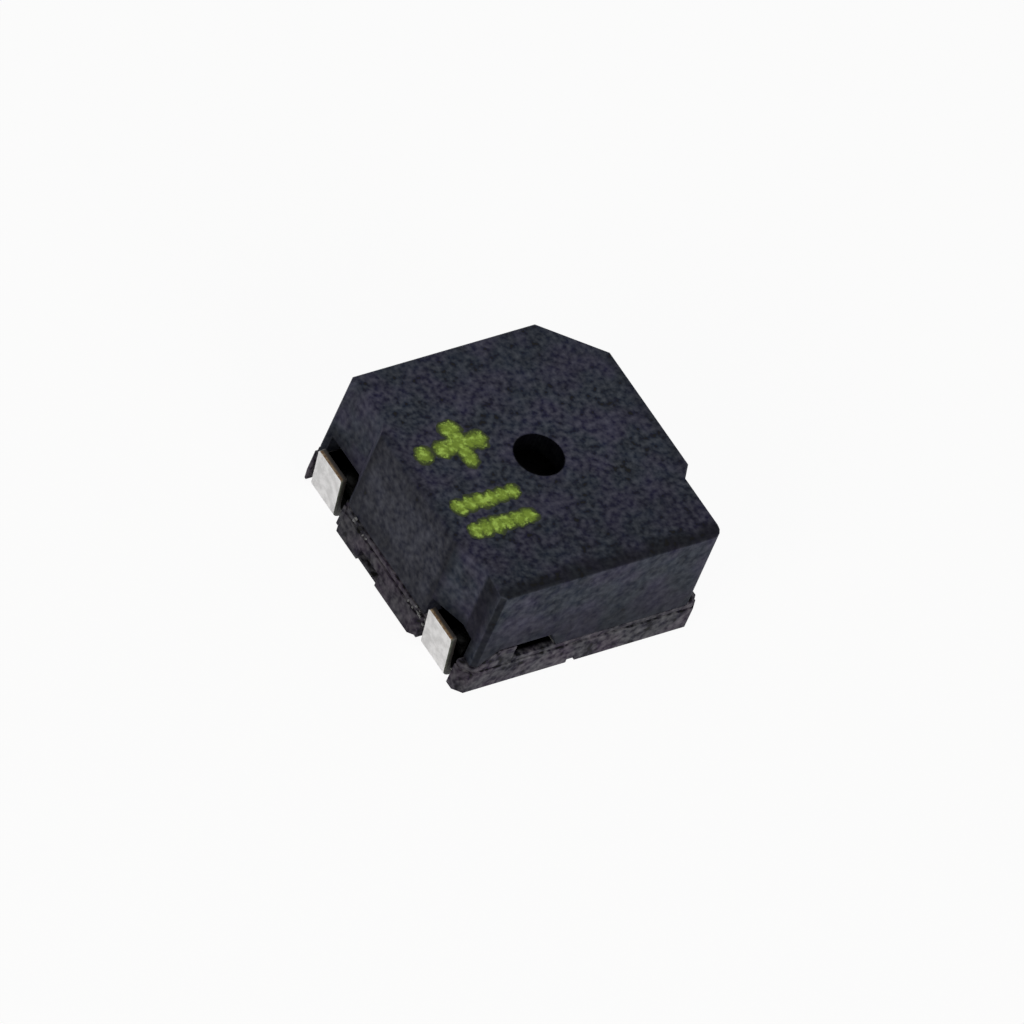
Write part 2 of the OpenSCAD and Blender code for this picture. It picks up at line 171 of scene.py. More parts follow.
class MaterialGraph(Graph):
    """A new material's tree, in which points are read in millimetres of the object's own frame."""

    def __init__(self, name):
        self.material = bpy.data.materials.new(name)
        self.material.use_nodes = True
        super().__init__(self.material.node_tree)
        self.tree.nodes.clear()
        self.place = self.node(
            "ShaderNodeVectorMath", {"operation": "SCALE"},
            {0: self.node("ShaderNodeTexCoord", output="Object"), "Scale": 1 / MM},
        )

    def axis(self, letter, vector=None):
        """One coordinate of a vector, by default of the point in millimetres."""
        return self.node("ShaderNodeSeparateXYZ", {}, {0: vector or self.place}, output=letter)

    def noise(self, size_mm, detail=2.0, roughness=0.5, stretch=(1.0, 1.0, 1.0), offset=0.0):
        """Noise from 0 to 1 whose lumps are about size_mm across, drawn out along an axis by stretch."""
        vector = self.node(
            "ShaderNodeMapping", {},
            {"Vector": self.place, "Location": (offset, offset, offset), "Scale": [1 / s for s in stretch]},
        )
        return self.node(
            "ShaderNodeTexNoise", {},
            {"Vector": vector, "Scale": 1 / size_mm, "Detail": detail, "Roughness": roughness},
        )

    def bump(self, height, depth_mm):
        """A normal roughened by a height from 0 to 1, depth_mm deep."""
        return self.node("ShaderNodeBump", {}, {"Height": height, "Distance": depth_mm * MM, "Strength": 1.0})

    def finish(self, unlit=None, **inputs):
        """Closes the tree with a Principled shader, painted dead black as shade where unlit is 1; _ stands
        for a space.
        """
        named = {name.replace("_", " "): value for name, value in inputs.items()}
        shader = self.node("ShaderNodeBsdfPrincipled", {}, named)
        if unlit is not None:
            black = self.node("ShaderNodeBsdfDiffuse", {}, {"Color": rgba(grey(0.0))})
            shader = self.node("ShaderNodeMixShader", {}, {0: unlit, 1: shader, 2: black})
        self.node("ShaderNodeOutputMaterial", {}, {"Surface": shader})
        return self.material


def rgba(colour):
    """A colour with its alpha, or a socket as it is."""
    return colour if isinstance(colour, Value) else (*colour[:3], 1.0)


def scaled(colour, share):
    """A colour times one number, or times one number for each channel."""
    shares = share if isinstance(share, tuple) else 3 * (share,)
    return [s * c for s, c in zip(shares, colour)]


def grey(level):
    """A neutral colour."""
    return (level, level, level)


# ---------------------------------------------------------------- settings


def length(name, description, default):
    """A size in metres that a user may change."""
    return FloatProperty(
        name=name, description=description, default=default, min=0.0,
        subtype="DISTANCE", unit="LENGTH", precision=6,
    )


def colour(name, description, default):
    """A linear colour that a user may change."""
    return FloatVectorProperty(
        name=name, description=description, default=default, size=3, min=0.0, max=1.0, subtype="COLOR"
    )


class HousingSettings(bpy.types.PropertyGroup):
    cap_colour: colour("Cap", "Colour of the upper case", (0.0328, 0.0388, 0.056))
    base_colour: colour("Base", "Colour of the base", (0.0568, 0.056, 0.0705))
    edge_round: length("Edge rounding", "Radius on the moulded edges", 0.055 * MM)
    grain_size: length("Grain", "Size of one lump of the spark-eroded texture", 0.18 * MM)
    grain_depth: length("Grain depth", "Depth of that texture", 0.010 * MM)


class TerminalSettings(bpy.types.PropertyGroup):
    tin_colour: colour("Tin", "Colour of the plated faces", (0.85, 0.845, 0.875))
    copper_colour: colour("Copper", "Colour of the sheared edges", (0.13, 0.07, 0.032))
    edge_round: length("Edge rounding", "Radius on the stamped edges", 0.02 * MM)


class InkSettings(bpy.types.PropertyGroup):
    ink_colour: colour("Ink", "Colour of the printed dots", (0.235, 0.35, 0.042))
    dot_radius: length("Dot radius", "Radius of one printed drop", 0.36 * MM)
    dot_pitch: length("Dot pitch", "Distance between neighbouring drops", 0.4 * MM)
    dot_height: length("Dot height", "How far the ink stands on the plastic", 0.01 * MM)
    ragged: length("Ragged edge", "How far a drop's outline wanders", 0.2 * MM)
    seed: IntProperty(name="Seed", description="Seed of the drops' irregularity", default=4)


class GlueSettings(bpy.types.PropertyGroup):
    glue_colour: colour("Glue", "Colour of the cured glue", (0.07, 0.07, 0.075))
    drop_radius: length("Drop radius", "Radius of one drop pressed out of the seam", 0.05 * MM)
    drop_count: IntProperty(name="Drops", description="Drops beside the front terminal", default=12, min=1)
    seed: IntProperty(name="Seed", description="Seed of the drops' places", default=11)


class CoilSettings(bpy.types.PropertyGroup):
    wire_colour: colour("Wire", "Colour of the enamelled copper", (0.55, 0.2, 0.07))
    wire_diameter: length("Wire", "Diameter of one turn", 0.095 * MM)


class StageSettings(bpy.types.PropertyGroup):
    azimuth: FloatProperty(
        name="Azimuth", description="Turn of the view round the part, 0 looks along +Y",
        default=math.radians(-50.949), subtype="ANGLE", unit="ROTATION",
    )
    elevation: FloatProperty(
        name="Elevation", description="Height of the view", default=math.radians(45.668),
        subtype="ANGLE", unit="ROTATION",
    )
    roll: FloatProperty(
        name="Roll", description="Turn of the picture", default=math.radians(24.978),
        subtype="ANGLE", unit="ROTATION",
    )
    distance: length("Distance", "Distance of the camera from what it looks at", 0.722)
    frame_width: length("Frame width", "Width of the picture where the camera looks", 28.624 * MM)
    target: FloatVectorProperty(
        name="Target", description="Point in the middle of the picture", size=3,
        default=(-0.290 * MM, -0.223 * MM, 2.0 * MM), subtype="TRANSLATION", unit="LENGTH",
    )
    key_power: FloatProperty(name="Key", description="Power of the key light", default=0.39, unit="POWER")
    sky_strength: FloatProperty(name="Sky", description="Strength of the even light", default=0.12)


# ---------------------------------------------------------------- meshes


def link(name, mesh):
    """A new object for a mesh, in the scene."""
    piece = bpy.data.objects.new(name, mesh)
    bpy.context.scene.collection.objects.link(piece)
    return piece


def set_material(piece, material):
    """Gives a piece or a model node one material."""
    piece.data.materials.clear()
    piece.data.materials.append(material)


def finished_copy(node, name, radius):
    """A copy of a model node with its doubles merged and its edges rounded."""
    work = bmesh.new()
    work.from_mesh(frame["nodes"][node].data)
    bmesh.ops.remove_doubles(work, verts=work.verts, dist=MERGE_DISTANCE)
    bmesh.ops.dissolve_limit(
        work, angle_limit=FLAT_ANGLE, verts=work.verts, edges=work.edges, delimit=set()
    )
    edges = [e for e in work.edges if e.is_manifold and e.calc_face_angle(0.0) > EDGE_ANGLE]
    bmesh.ops.bevel(
        work, geom=edges, offset=radius, offset_type="OFFSET", segments=BEVEL_STEPS, profile=0.5,
        affect="EDGES", clamp_overlap=True,
    )
    bmesh.ops.triangulate(work, faces=work.faces)
    mesh = bpy.data.meshes.new(name)
    work.to_mesh(mesh)
    work.free()
    mesh.shade_smooth()
    mesh.set_sharp_from_angle(angle=SMOOTH_ANGLE)
    return link(name, mesh)


def settle(piece, slot, *nodes):
    """Puts a finished piece on the body and hides the model nodes that it stands for. slot is not used."""
    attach(piece, ROOT)
    if nodes:
        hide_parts(*nodes)


class GeometryGraph(Graph):
    """A geometry tree with named inputs, which makes a plain mesh from a seed object."""

    def __init__(self, name):
        super().__init__(bpy.data.node_groups.new(name, "GeometryNodeTree"))
        self.tree.interface.new_socket("Geometry", in_out="INPUT", socket_type="NodeSocketGeometry")
        self.tree.interface.new_socket("Geometry", in_out="OUTPUT", socket_type="NodeSocketGeometry")
        self.entry = self.tree.nodes.new("NodeGroupInput")
        self.values = {}

    def input(self, name, kind, value):
        """A named input of the tree and the value it is to have."""
        self.tree.interface.new_socket(name, in_out="INPUT", socket_type=kind)
        self.values[name] = value
        return Value(self, self.entry.outputs[name])

    @property
    def geometry(self):
        return Value(self, self.entry.outputs["Geometry"])

    def at_points(self, piece, **inputs):
        """The piece once on each start point, as plain geometry."""
        named = {"Points": self.geometry, "Instance": piece, **inputs}
        spread = self.node("GeometryNodeInstanceOnPoints", {}, named)
        return self.node("GeometryNodeRealizeInstances", {}, {"Geometry": spread})

    def random_share(self, low, high, seed):
        """A number from low to high, drawn for each point."""
        return self.node(
            "FunctionNodeRandomValue", {"data_type": "FLOAT"}, {2: low, 3: high, "Seed": seed}, output=1
        )

    def roughened(self, geometry, lumps_per_mm, detail, reach, axes=(1.0, 1.0, 1.0)):
        """Geometry pushed about by noise, up to half of reach each way along the given axes."""
        place = self.node("GeometryNodeInputPosition")
        noise = self.node(
            "ShaderNodeTexNoise", {},
            {"Vector": place, "Scale": lumps_per_mm / MM, "Detail": detail}, output=1,
        )
        centred = self.node("ShaderNodeVectorMath", {"operation": "SUBTRACT"}, {0: noise, 1: grey(0.5)})
        along = self.node("ShaderNodeVectorMath", {"operation": "MULTIPLY"}, {0: centred, 1: axes})
        push = self.node("ShaderNodeVectorMath", {"operation": "SCALE"}, {0: along, "Scale": reach})
        return self.node("GeometryNodeSetPosition", {}, {"Geometry": geometry, "Offset": push})

    def bake(self, name, start, result, material):
        """Ends the tree, runs it on the start mesh and returns a new object that holds the result."""
        real = self.node("GeometryNodeRealizeInstances", {}, {"Geometry": result})
        painted = self.node("GeometryNodeSetMaterial", {}, {"Geometry": real, "Material": material})
        out = self.tree.nodes.new("NodeGroupOutput")
        self.tree.links.new(painted.socket, out.inputs["Geometry"])
        seed = link(name + "_seed", start)
        modifier = seed.modifiers.new("build", "NODES")
        modifier.node_group = self.tree
        for item in self.tree.interface.items_tree:
            if item.in_out == "INPUT" and item.name in self.values:
                modifier[item.identifier] = self.values[item.name]
        seen = seed.evaluated_get(bpy.context.evaluated_depsgraph_get())
        mesh = bpy.data.meshes.new_from_object(seen)
        bpy.data.objects.remove(seed)
        mesh.name = name
        mesh.shade_smooth()
        return link(name, mesh)


def points_mesh(name, points):
    """A mesh of loose points."""
    mesh = bpy.data.meshes.new(name)
    mesh.from_pydata(points, [], [])
    return mesh


# ---------------------------------------------------------------- materials


def unlit_depths(g, half_x, half_y):
    """1 in the depths of the housing that are painted black as shade, within half_x and half_y in
    millimetres, 0 on its outside.

    The depths stop above the underside and short of the back right corner, which is cut off. The sound
    hole passes through the upper case alone.
    """
    wander = (g.noise(0.25, detail=3.0, offset=6.0) - 0.5) * 0.1
    start, end = DEPTHS_FADE
    across = 1 - (g.axis("X").math("ABSOLUTE") + wander).step(half_x - start, half_x - end)
    along = 1 - (g.axis("Y").math("ABSOLUTE") + wander).step(half_y - start, half_y - end)
    flat = g.node("ShaderNodeVectorMath", {"operation": "MULTIPLY"}, {0: g.place, 1: (1.0, 1.0, 0.0)})
    radius = g.node("ShaderNodeVectorMath", {"operation": "LENGTH"}, {0: flat}, output="Value")
    hole = (1 - radius.step(*SOUND_HOLE_R)) * g.axis("Z").step(*SOUND_HOLE_FOOT)
    inside = g.axis("Z").step(*DEPTHS_FLOOR) * (1 - g.axis("Z").step(*DEPTHS_ROOF))
    behind_cut = 1 - (g.axis("X") + g.axis("Y")).step(*CUT_CORNER)
    return (across * along * inside * behind_cut).math("MAXIMUM", hole)


def beside_node(y, node, near, far):
    """1 within near millimetres of the middle of a model node along Y, 0 beyond far."""
    low, high = (corner.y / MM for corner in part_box(node))
    return 1 - (y - (low + high) / 2).math("ABSOLUTE").step(near, far)


def moulded_plastic(name, base, settings, tint, contrast, masks):
    """Black moulded plastic: spark-eroded grain, faint coloured blotches and a slight sheen.

    masks is a function of the graph that gives the unlit depths, painted black as shade, the share that
    painted shade takes elsewhere and the places painted warmer as warm light. The grain is strongest on faces
    that look up, as the tool was eroded there.
    """
    cloud_share, wide_share = 1.7, 0.7
    coloured_share, least = 0.35, 0.12
    g = MaterialGraph(name)
    grain_mm = settings.grain_size / MM
    upward = g.axis("Z", g.node("ShaderNodeTexCoord", output="Normal")).step(0.6, 0.95)
    coarse = g.noise(grain_mm, detail=2.0, roughness=0.42)
    fine = g.noise(0.4 * grain_mm, detail=2.0, roughness=0.7, offset=5.0)
    cloud = g.noise(0.55, detail=3.0, roughness=0.6, offset=2.0)
    wide = g.noise(1.0, detail=2.0, roughness=0.4, offset=9.0)
    unlit, painted_shade, painted_warm_light = masks(g)
    # Warmer tone painted on the flat sides as warm light falling on them.
    warm = scaled(base, (0.98, 0.87, 0.86))
    mean = sum(base) / 3
    tone = g.mix(painted_warm_light, g.mix(wide.step(0.35, 0.65), base, tint), warm)
    swing = contrast * (0.8 + 0.6 * upward)
    pits = (coarse - 0.5) * swing + (fine - 0.5) * swing * (0.02 + 0.1 * upward)
    blotches = (cloud - 0.5) * cloud_share + (wide - 0.5) * wide_share
    # Painted shade darkens the colour where it is painted.
    level = (1 + coloured_share * pits + blotches).math("MAXIMUM", least) * (1 - painted_shade)
    coloured = g.node("ShaderNodeVectorMath", {"operation": "SCALE"}, {0: tone, "Scale": level})
    uncoloured = (1 - coloured_share) * pits * (1 - painted_shade)
    neutral = g.node("ShaderNodeVectorMath", {"operation": "SCALE"}, {0: grey(mean), "Scale": uncoloured})
    summed = g.node("ShaderNodeVectorMath", {"operation": "ADD"}, {0: coloured, 1: neutral})
    darkest = grey(least * mean)
    lit = g.node("ShaderNodeVectorMath", {"operation": "MAXIMUM"}, {0: summed, 1: darkest})
    relief = coarse + 0.1 * fine
    return g.finish(
        unlit=unlit, Base_Color=lit, Roughness=(0.6 + 0.2 * fine + 0.2 * painted_shade).clamped(),
        Specular_IOR_Level=0.12, Normal=g.bump(relief, settings.grain_depth / MM),
    )


def tinned_strip(name, settings):
    """Matte tin on the faces of a stamped strip; a sheared edge is bright outside and painted dark further in
    as shade.
    """
    turned, tab_top, under_case = (0.5, 0.8), (1.5, 1.6), (3.75, 3.85)
    lean = 0.176
    g = MaterialGraph(name)
    facing = g.node("ShaderNodeTexCoord", output="Normal")
    side = g.axis("Y", facing).math("ABSOLUTE").step(*turned)
    upward = g.axis("Z", facing).step(*turned)
    high = g.axis("Z").step(*tab_top)
    out = g.axis("X").math("ABSOLUTE")
    # Painted shade: the parts of the strap under the case are painted near black.
    inner = 1 - out.step(*under_case)
    cut = (side + upward * high).clamped()
    low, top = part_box(TERMINALS[0])
    face = -low.x / MM - (top.z / MM - g.axis("Z")) * lean
    patch = g.noise(0.3, detail=3.0, roughness=0.6)
    fine = g.noise(0.06, detail=3.0, roughness=0.65)
    chip = g.noise(0.08, detail=3.0, roughness=0.7, offset=3.0)
    inward = face - out + (chip - 0.5) * 0.12
    dull = scaled(settings.tin_colour, 0.78)
    tin = g.mix(patch.step(0.35, 0.65), dull, settings.tin_colour)
    speck = chip.step(0.45, 0.6)
    lip = g.mix(speck, settings.copper_colour, (0.36, 0.27, 0.17))
    olive = g.mix(speck, (0.03, 0.035, 0.028), (0.11, 0.12, 0.1))
    # Painted shade: further in, the sheared edge turns near black.
    bare = g.mix(inward.step(0.03, 0.12), g.mix(side, lip, olive), (0.012, 0.009, 0.008))
    shown = g.mix(cut, tin, bare)
    return g.finish(
        Base_Color=g.mix(inner, shown, grey(0.004)),
        Metallic=0.35 - 0.3 * cut,
        Roughness=0.45 + 0.2 * fine,
        Normal=g.bump(fine + 1.4 * patch, 0.012),
    )


def dried_ink(settings):
    """Pigmented ink: thin and dark green round a drop, green between drops and brightest on each crown."""
    g = MaterialGraph("printed_ink")
    fine = g.noise(0.09, detail=3.0, roughness=0.7)
    wide = g.noise(0.2, detail=3.0, roughness=0.6)
    rise = (g.axis("Z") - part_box("upper_case")[1].z / MM) / (settings.dot_height / MM) + 0.7 * (fine - 0.5)
    pale = [min(1.0, 1.9 * c + 0.05) for c in settings.ink_colour]
    rim = [0.08 * c + 0.006 for c in settings.ink_colour]
    deep = scaled(settings.ink_colour, 0.5)
    tone = g.mix(rise.step(0.7, 1.0), deep, settings.ink_colour)
    speckled = g.mix((wide + 0.25 * (fine - 0.5)).step(0.46, 0.68), tone, pale)
    return g.finish(
        Base_Color=g.mix(rise.step(0.45, 0.85), rim, speckled), Roughness=0.6 + 0.15 * wide,
        Specular_IOR_Level=0.25, Normal=g.bump(fine, 0.004),
    )


def cured_glue(settings):
    """Clear glue that has picked up the black of the plastic."""
    g = MaterialGraph("cured_glue")
    cloud = g.noise(0.12, detail=2.0)
    pale = [min(1.0, 1.9 * c) for c in settings.glue_colour]
    return g.finish(
        Base_Color=g.mix(cloud.step(0.4, 0.65), settings.glue_colour, pale),
        Roughness=0.35 + 0.2 * cloud, Normal=g.bump(cloud, 0.004),
    )


def enamelled_wire(settings):
    """Copper under a clear enamel, a little uneven from turn to turn."""
    g = MaterialGraph("enamelled_wire")
    shade = g.noise(0.3, detail=2.0, stretch=(1.0, 1.0, 0.15))
    dark = scaled(settings.wire_colour, 0.55)
    return g.finish(
        Base_Color=g.mix(shade, dark, settings.wire_colour), Metallic=0.85,
        Roughness=0.3 + 0.15 * shade, Coat_Weight=0.6,
    )


def metal(name, shade, roughness, size_mm, stretch=(1.0, 1.0, 1.0)):
    """Plain worked metal with fine marks of its making."""
    g = MaterialGraph(name)
    marks = g.noise(size_mm, detail=3.0, roughness=0.6, stretch=stretch)
    return g.finish(
        Base_Color=g.mix(marks, scaled(shade, 0.7), shade), Metallic=0.9,
        Roughness=roughness + 0.15 * marks, Normal=g.bump(marks, 0.002),
    )


def ring_plastic():
    """Pale engineering plastic of the support ring."""
    g = MaterialGraph("ring_plastic")
    cloud = g.noise(0.5, detail=3.0)
    return g.finish(
        Base_Color=g.mix(cloud, (0.56, 0.52, 0.43), (0.68, 0.65, 0.56)), Roughness=0.5 + 0.1 * cloud,
        Normal=g.bump(g.noise(0.08), 0.003),
    )


def seen_directly(g):
    """1 for what the eye sees itself, mirrored or through glass, 0 for what only gives light."""
    kinds = ("Camera", "Glossy", "Transmission")
    paths = [g.node("ShaderNodeLightPath", output=f"Is {kind} Ray") for kind in kinds]
    return (paths[0] + paths[1] + paths[2]).clamped()


def floor_paper(glow):
    """Pale floor that shows nearly white and keeps a faint shadow."""
    g = MaterialGraph("floor_paper")
    fibre = g.noise(0.8, detail=3.0)
    shade = g.mix(fibre, grey(0.86), grey(0.9))
    paper = g.node("ShaderNodeBsdfDiffuse", {}, {"Color": shade})
    white = g.node("ShaderNodeEmission", {}, {"Color": rgba(grey(1.0)), "Strength": 1.0})
    mixed = g.node("ShaderNodeMixShader", {}, {0: seen_directly(g) * glow, 1: paper, 2: white})
    g.node("ShaderNodeOutputMaterial", {}, {"Surface": mixed})
    return g.material


# ---------------------------------------------------------------- operators


class BUZZER_OT_stage(bpy.types.Operator):
    """Add the camera, the lights, the pale floor and the white surroundings"""

    bl_idname = "buzzer.stage"
    bl_label = "Stage"

    def execute(self, context):
        settings = context.scene.buzzer_stage
        self.add_camera(context, settings)
        self.add_floor()
        self.add_lights(context, settings)
        self.set_world(context, settings)
        return {"FINISHED"}

    @staticmethod
    def add_camera(context, settings):
        az, el, roll = settings.azimuth, settings.elevation, settings.roll
        back = Vector((math.sin(az) * math.cos(el), -math.cos(az) * math.cos(el), math.sin(el)))
        level = Vector((0.0, 0.0, 1.0)).cross(back).normalized()
        upright = back.cross(level)
        right = math.cos(roll) * level + math.sin(roll) * upright
        up = back.cross(right)
        turn = Matrix((right, up, back)).transposed().to_4x4()
        camera = bpy.data.cameras.new("camera")
        camera.sensor_width = 36.0
        camera.lens = camera.sensor_width * settings.distance / settings.frame_width
        camera.clip_start = 0.01
        camera.clip_end = 10.0
        viewer = bpy.data.objects.new("camera", camera)
        viewer.matrix_world = Matrix.Translation(Vector(settings.target) + settings.distance * back) @ turn
        context.scene.collection.objects.link(viewer)
        context.scene.camera = viewer

    @staticmethod
    def add_floor():
        half = 0.6
        mesh = bpy.data.meshes.new("floor")
        corners = [(-half, -half, 0.0), (half, -half, 0.0), (half, half, 0.0), (-half, half, 0.0)]
        mesh.from_pydata(corners, [], [(0, 1, 2, 3)])
        floor = link("floor", mesh)
        set_material(floor, floor_paper(glow=0.94))

    @staticmethod
    def add_lights(context, settings):
        aim = Vector((0.0, 0.0, 0.002))
        for name, place, size, share, tone in (
            ("front_light", (0.0, -0.30, 0.13), 0.16, 0.97, (1.0, 1.0, 0.9)),
            ("left_light", (-0.27, -0.10, 0.13), 0.14, 1.12, (1.0, 0.97, 0.87)),
            ("top_light", (0.05, 0.05, 0.33), 0.24, 0.3, (0.9, 0.96, 1.0)),
        ):
            lamp = bpy.data.lights.new(name, "AREA")
            lamp.shape = "DISK"
            lamp.size = size
            lamp.energy = settings.key_power * share
            lamp.color = tone
            held = bpy.data.objects.new(name, lamp)
            held.location = place
            held.rotation_euler = (aim - Vector(place)).to_track_quat("-Z", "Y").to_euler()
            context.scene.collection.objects.link(held)

    @staticmethod
    def set_world(context, settings):
        world = bpy.data.worlds.new("surroundings")
        world.use_nodes = True
        context.scene.world = world
        g = Graph(world.node_tree)
        g.tree.nodes.clear()
        strength = settings.sky_strength + (1.0 - settings.sky_strength) * seen_directly(g)
        sky = g.node("ShaderNodeBackground", {}, {"Color": rgba(grey(1.0)), "Strength": strength})
        g.node("ShaderNodeOutputWorld", {}, {"Surface": sky})
        context.scene.view_settings.view_transform = "Standard"


class BUZZER_OT_housing(bpy.types.Operator):
    """Add the upper case and the base with their moulded finish"""

    bl_idname = "buzzer.housing"
    bl_label = "Housing"

    def execute(self, context):
        settings = context.scene.buzzer_housing
        for node, name, slot, colour, tint, contrast, masks in (
            ("upper_case", "cap_shell", "cap_plastic", settings.cap_colour, (1.15, 0.95, 1.1), 3.45,
             self.cap_shade),
            ("base", "base_tray", "base_plastic", settings.base_colour, (1.1, 0.96, 1.05), 5.9,
             self.base_shade),
        ):
            shell = finished_copy(node, name, settings.edge_round)
            tinted = scaled(colour, tint)
            set_material(shell, moulded_plastic(slot, colour, settings, tinted, contrast, masks))
            settle(shell, slot, node)
        return {"FINISHED"}

    @staticmethod
    def cap_shade(g):
        """The hollows painted black as shade, painted shade at the edges, creases, seam, lower parts, corners
        and beside the terminals, and the flat sides of the cap painted warmer as warm light.
        """
        low, high = (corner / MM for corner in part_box("upper_case"))
        wander = (g.noise(0.7, detail=2.0, offset=7.0) - 0.5) * 0.7
        x, y, z = (g.axis(letter) for letter in "XYZ")
        out, along = x.math("ABSOLUTE"), y.math("ABSOLUTE")
        top = z.step(high.z - 0.1, high.z - 0.03)
        side = out.step(high.x - 0.08, high.x - 0.02)
        front = 1 - (y - low.y).step(0.02, 0.1)
        inset = out.step(3.74, 3.77) * (1 - out.step(3.86, 3.92))
        front_recesses = inset * (1 - y.step(-3.35, -3.2)) * (1 - top)
        # The flat sides are painted warmer, as warm light falls on them.
        painted_warm_light = side * (1 - along.step(FLAT_SIDE_END - 0.05, FLAT_SIDE_END + 0.05))
        from_front = y - low.y + wander
        from_side = high.x - out + 0.25 * wander
        fold = (along - FLAT_SIDE_END + 0.1 * wander).math("ABSOLUTE")
        left_nodes = ("terminal_front_left", "terminal_back_left")
        first, second = (beside_node(y, node, *TERMINAL_REACH) for node in left_nodes)
        around = out.step(3.6, 3.75) * (1 - (z + 0.5 * wander).step(1.7, 2.6))
        beside_terminals = around * first.math("MAXIMUM", second)
        top_front_edge = top * (1 - from_front.step(0.25, 0.85))
        top_front_part = top * (1 - from_front.step(0.8, 3.2))
        top_side_edges = top * (1 - from_side.step(0.2, 0.5))
        upper_rims = side * (z + 0.4 * wander).step(3.2, 3.9)
        lower_rims = side * (1 - (z + 0.4 * wander).step(1.3, 2.1))
        folds = out.step(4.0, 4.12) * (1 - fold.step(0.04, 0.34))
        lower_front = front * (1 - (z + 0.5 * wander).step(1.1, 3.7))
        seam = 1 - (z + wander).step(low.z, low.z + 0.95)
        # Painted shade: the top's front edge and front part, its side edges, the upper and lower parts of the
        # sides, the folds, the lower front, the seam, beside the terminals and the front recesses are
        # darkened where shade falls.
        painted_shade = 0.0
        for share, mask in (
            (0.74, top_front_edge), (0.24, top_front_part), (0.3, top_side_edges), (0.17, upper_rims),
            (0.3, lower_rims), (0.5, folds), (0.5, lower_front), (0.34, seam), (0.6, beside_terminals),
            (0.68, front_recesses),
        ):
            painted_shade = (mask * share).math("MAXIMUM", painted_shade)
        return unlit_depths(g, *CAP_DEPTHS_HALF), painted_shade, painted_warm_light

    @staticmethod
    def base_shade(g):
        """The slots and pockets inside the base, painted black as shade, and painted shade on its left land.
        """
        wander = (g.noise(0.6, detail=3.0, offset=4.0) - 0.5) * 0.8
        # Painted shade: the left land is darkened.
        left = (1 - (g.axis("X") + wander).step(-4.0, -3.3)) * 0.26
        return unlit_depths(g, *BASE_DEPTHS_HALF), left, 0.0


class BUZZER_OT_terminals(bpy.types.Operator):
    """Add the four bent terminal straps with their plating and sheared edges"""

    bl_idname = "buzzer.terminals"
    bl_label = "Terminals"

    def execute(self, context):
        settings = context.scene.buzzer_terminals
        plating = tinned_strip("tinned_strip", settings)
        for node in TERMINALS:
            strap = finished_copy(node, node.replace("terminal", "strap"), settings.edge_round)
            set_material(strap, plating)
            settle(strap, "tinned_strap", node)
        return {"FINISHED"}


class BUZZER_OT_ink(bpy.types.Operator):
    """Print a dotted plus sign, a single drop and two dotted bars on the top face"""

    bl_idname = "buzzer.ink"
    bl_label = "Ink marks"

    def execute(self, context):
        settings = context.scene.buzzer_ink
        g = GeometryGraph("ink_drops")
        radius = g.input("Drop radius", "NodeSocketFloat", settings.dot_radius)
        height = g.input("Drop height", "NodeSocketFloat", settings.dot_height)
        ragged = g.input("Ragged edge", "NodeSocketFloat", settings.ragged)
        seed = g.input("Seed", "NodeSocketInt", settings.seed)
        ball = g.node("GeometryNodeMeshIcoSphere", {}, {"Radius": 1.0, "Subdivisions": 4})
        width = radius * g.random_share(0.86, 1.12, seed)
        scale = g.node("ShaderNodeCombineXYZ", {}, {0: width, 1: width * 0.92, 2: height})
        turn = g.node("ShaderNodeCombineXYZ", {}, {2: g.random_share(0.0, math.tau, seed)})
        drops = g.at_points(ball, Rotation=turn, Scale=scale)
        shaped = g.roughened(drops, 5.0, 1.0, ragged, axes=(1.0, 1.0, 0.0))
        start = points_mesh("ink_places", self.printed_drops(settings))
        piece = g.bake("ink_marks", start, shaped, dried_ink(settings))
        settle(piece, "printed_ink")
        return {"FINISHED"}

    @staticmethod
    def printed_drops(settings):
        """Middles of the drops: a single drop, a plus sign beside it, and two bars."""
        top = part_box("upper_case")[1].z
        pitch = settings.dot_pitch
        left, middle, line = -3.3 * MM, -2.05 * MM, 1.05 * MM
        bars, bar_drops, bar_pitch = (-0.9 * MM, -1.8 * MM), 6, 0.9
        drops = [(middle + i * pitch, line, top) for i in (-1.5, -0.75, 0.0, 0.75, 1.5)]
        drops += [(middle, line + i * pitch, top) for i in (-1.4, -0.7, 0.7, 1.4)]
        drops.append((left, line, top))
        for y in bars:
            drops += [(left + i * bar_pitch * pitch, y, top) for i in range(bar_drops)]
        return drops


